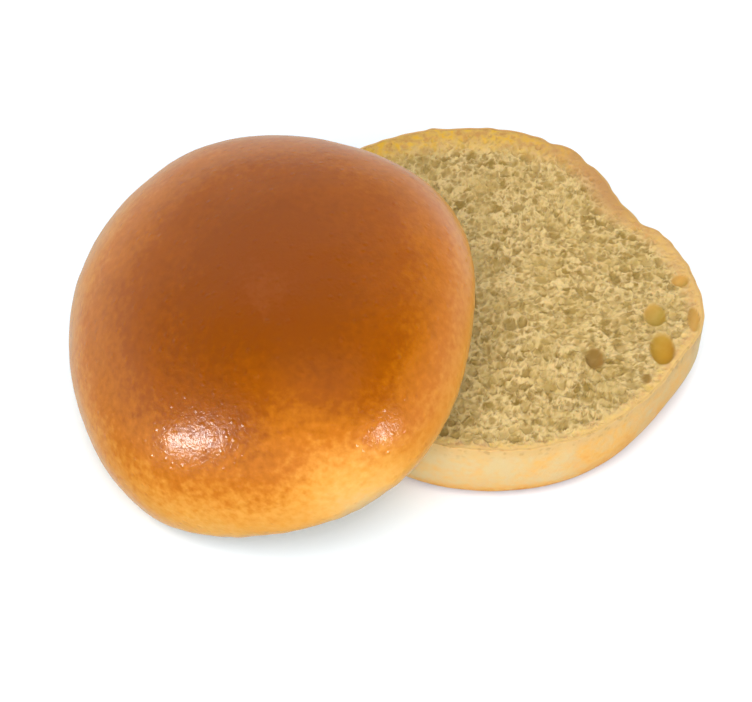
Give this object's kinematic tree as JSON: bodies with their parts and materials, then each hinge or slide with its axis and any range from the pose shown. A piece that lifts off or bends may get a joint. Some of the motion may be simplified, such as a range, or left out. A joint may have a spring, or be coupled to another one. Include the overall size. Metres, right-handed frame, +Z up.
{
  "type": "bread roll",
  "caption": "Round soft glazed bread roll, sliced level, with its domed top half leaning on the rim of its flat bottom half, whose open crumb faces up.",
  "frame": {"origin": "middle of the footprint of both halves, at table height", "axes": "+X from the leaning top half towards the flat bottom half, +Z up"},
  "size_m": [0.1542, 0.1292, 0.0689],
  "materials": {
    "crust": "smooth brown baked crust with a thin egg glaze, paler and golden towards the rim",
    "crumb": "matt pale yellow open crumb with a soft cream-coloured side"
  },
  "bodies": {
    "root": {"crown": "crust", "heel": "crumb"}
  },
  "joints": []
}
